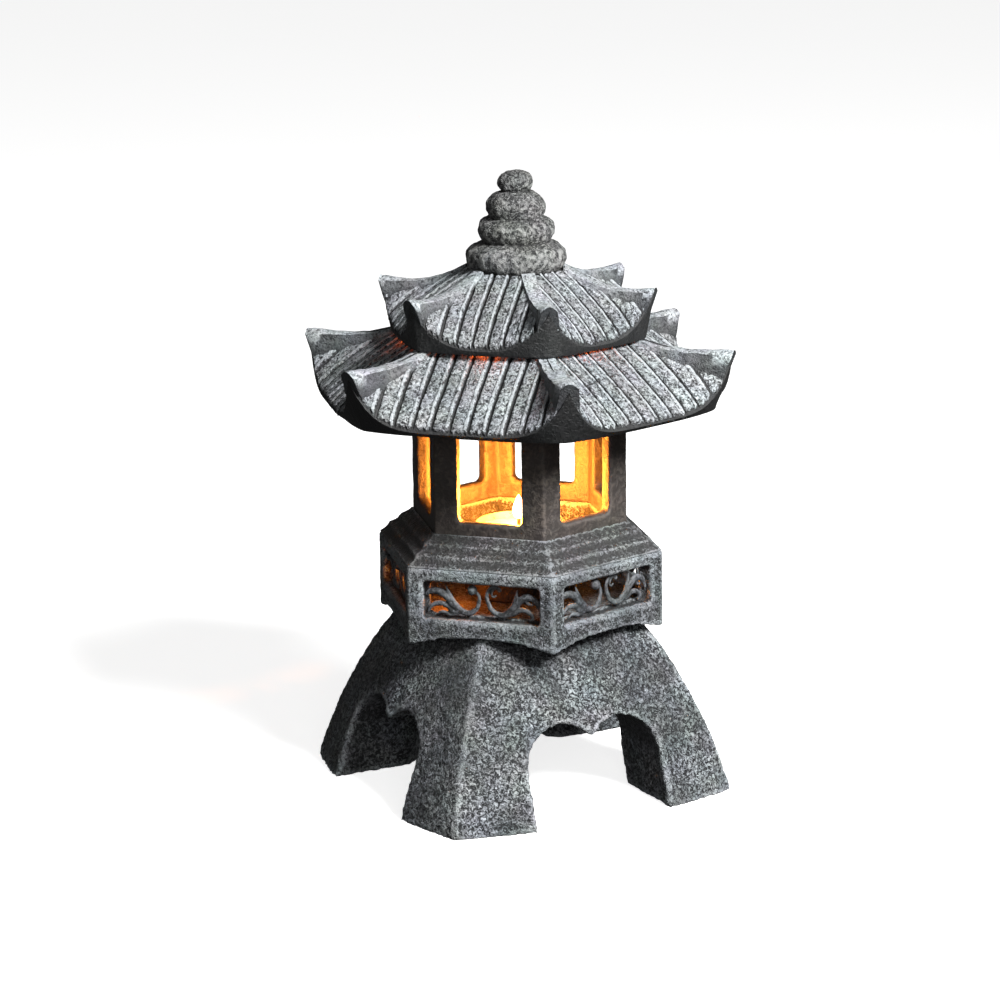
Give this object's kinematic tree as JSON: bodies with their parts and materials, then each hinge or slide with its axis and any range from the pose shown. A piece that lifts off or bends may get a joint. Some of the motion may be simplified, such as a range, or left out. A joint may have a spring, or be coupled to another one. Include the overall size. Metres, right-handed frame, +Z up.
{
  "type": "stone lantern",
  "caption": "Cast stone pagoda candle lantern with an arched four-legged foot, pierced hexagonal platform, open fire box, two boarded roofs and a ringed finial.",
  "frame": {"origin": "middle of the footprint, on the ground", "axes": "+Z up; a flat side of the hexagons faces -Y, and the leg ridges point along +X, -X, +Y and -Y"},
  "size_m": [0.192, 0.192, 0.27],
  "materials": {
    "base_stone": "pitted cast stone, dry-brushed light grey",
    "platform_stone": "stippled cast stone, dry-brushed light grey",
    "scroll_stone": "smooth cast stone",
    "fire_box_stone": "smooth dark cast stone",
    "roof_stone": "stippled cast stone, light boards and dark grooves",
    "finial_stone": "pitted cast stone",
    "cup_metal": "thin pressed foil",
    "wax": "candle wax",
    "wick": "charred cotton braid"
  },
  "bodies": {
    "lantern": {"base": "base_stone", "platform": "platform_stone", "scroll_panel_front": "scroll_stone", "scroll_panel_front_right": "scroll_stone", "scroll_panel_back_right": "scroll_stone", "scroll_panel_back": "scroll_stone", "scroll_panel_back_left": "scroll_stone", "scroll_panel_front_left": "scroll_stone", "stepped_collar": "platform_stone", "fire_box": "fire_box_stone", "candle_stand": "fire_box_stone"},
    "roof": {"lower_roof": "roof_stone", "vent_collar": "fire_box_stone", "upper_roof": "roof_stone", "finial": "finial_stone"},
    "tealight": {"candle_cup": "cup_metal", "candle_wax": "wax", "candle_wick": "wick", "wick_tab": "cup_metal"}
  },
  "joints": [
    {"name": "roof_lift", "type": "slide", "parent": "lantern", "child": "roof", "axis": [0, 0, 1], "range_m": [0, 0.08]},
    {"name": "candle_lift", "type": "slide", "parent": "lantern", "child": "tealight", "axis": [0, 0, 1], "range_m": [0, 0.04]}
  ]
}
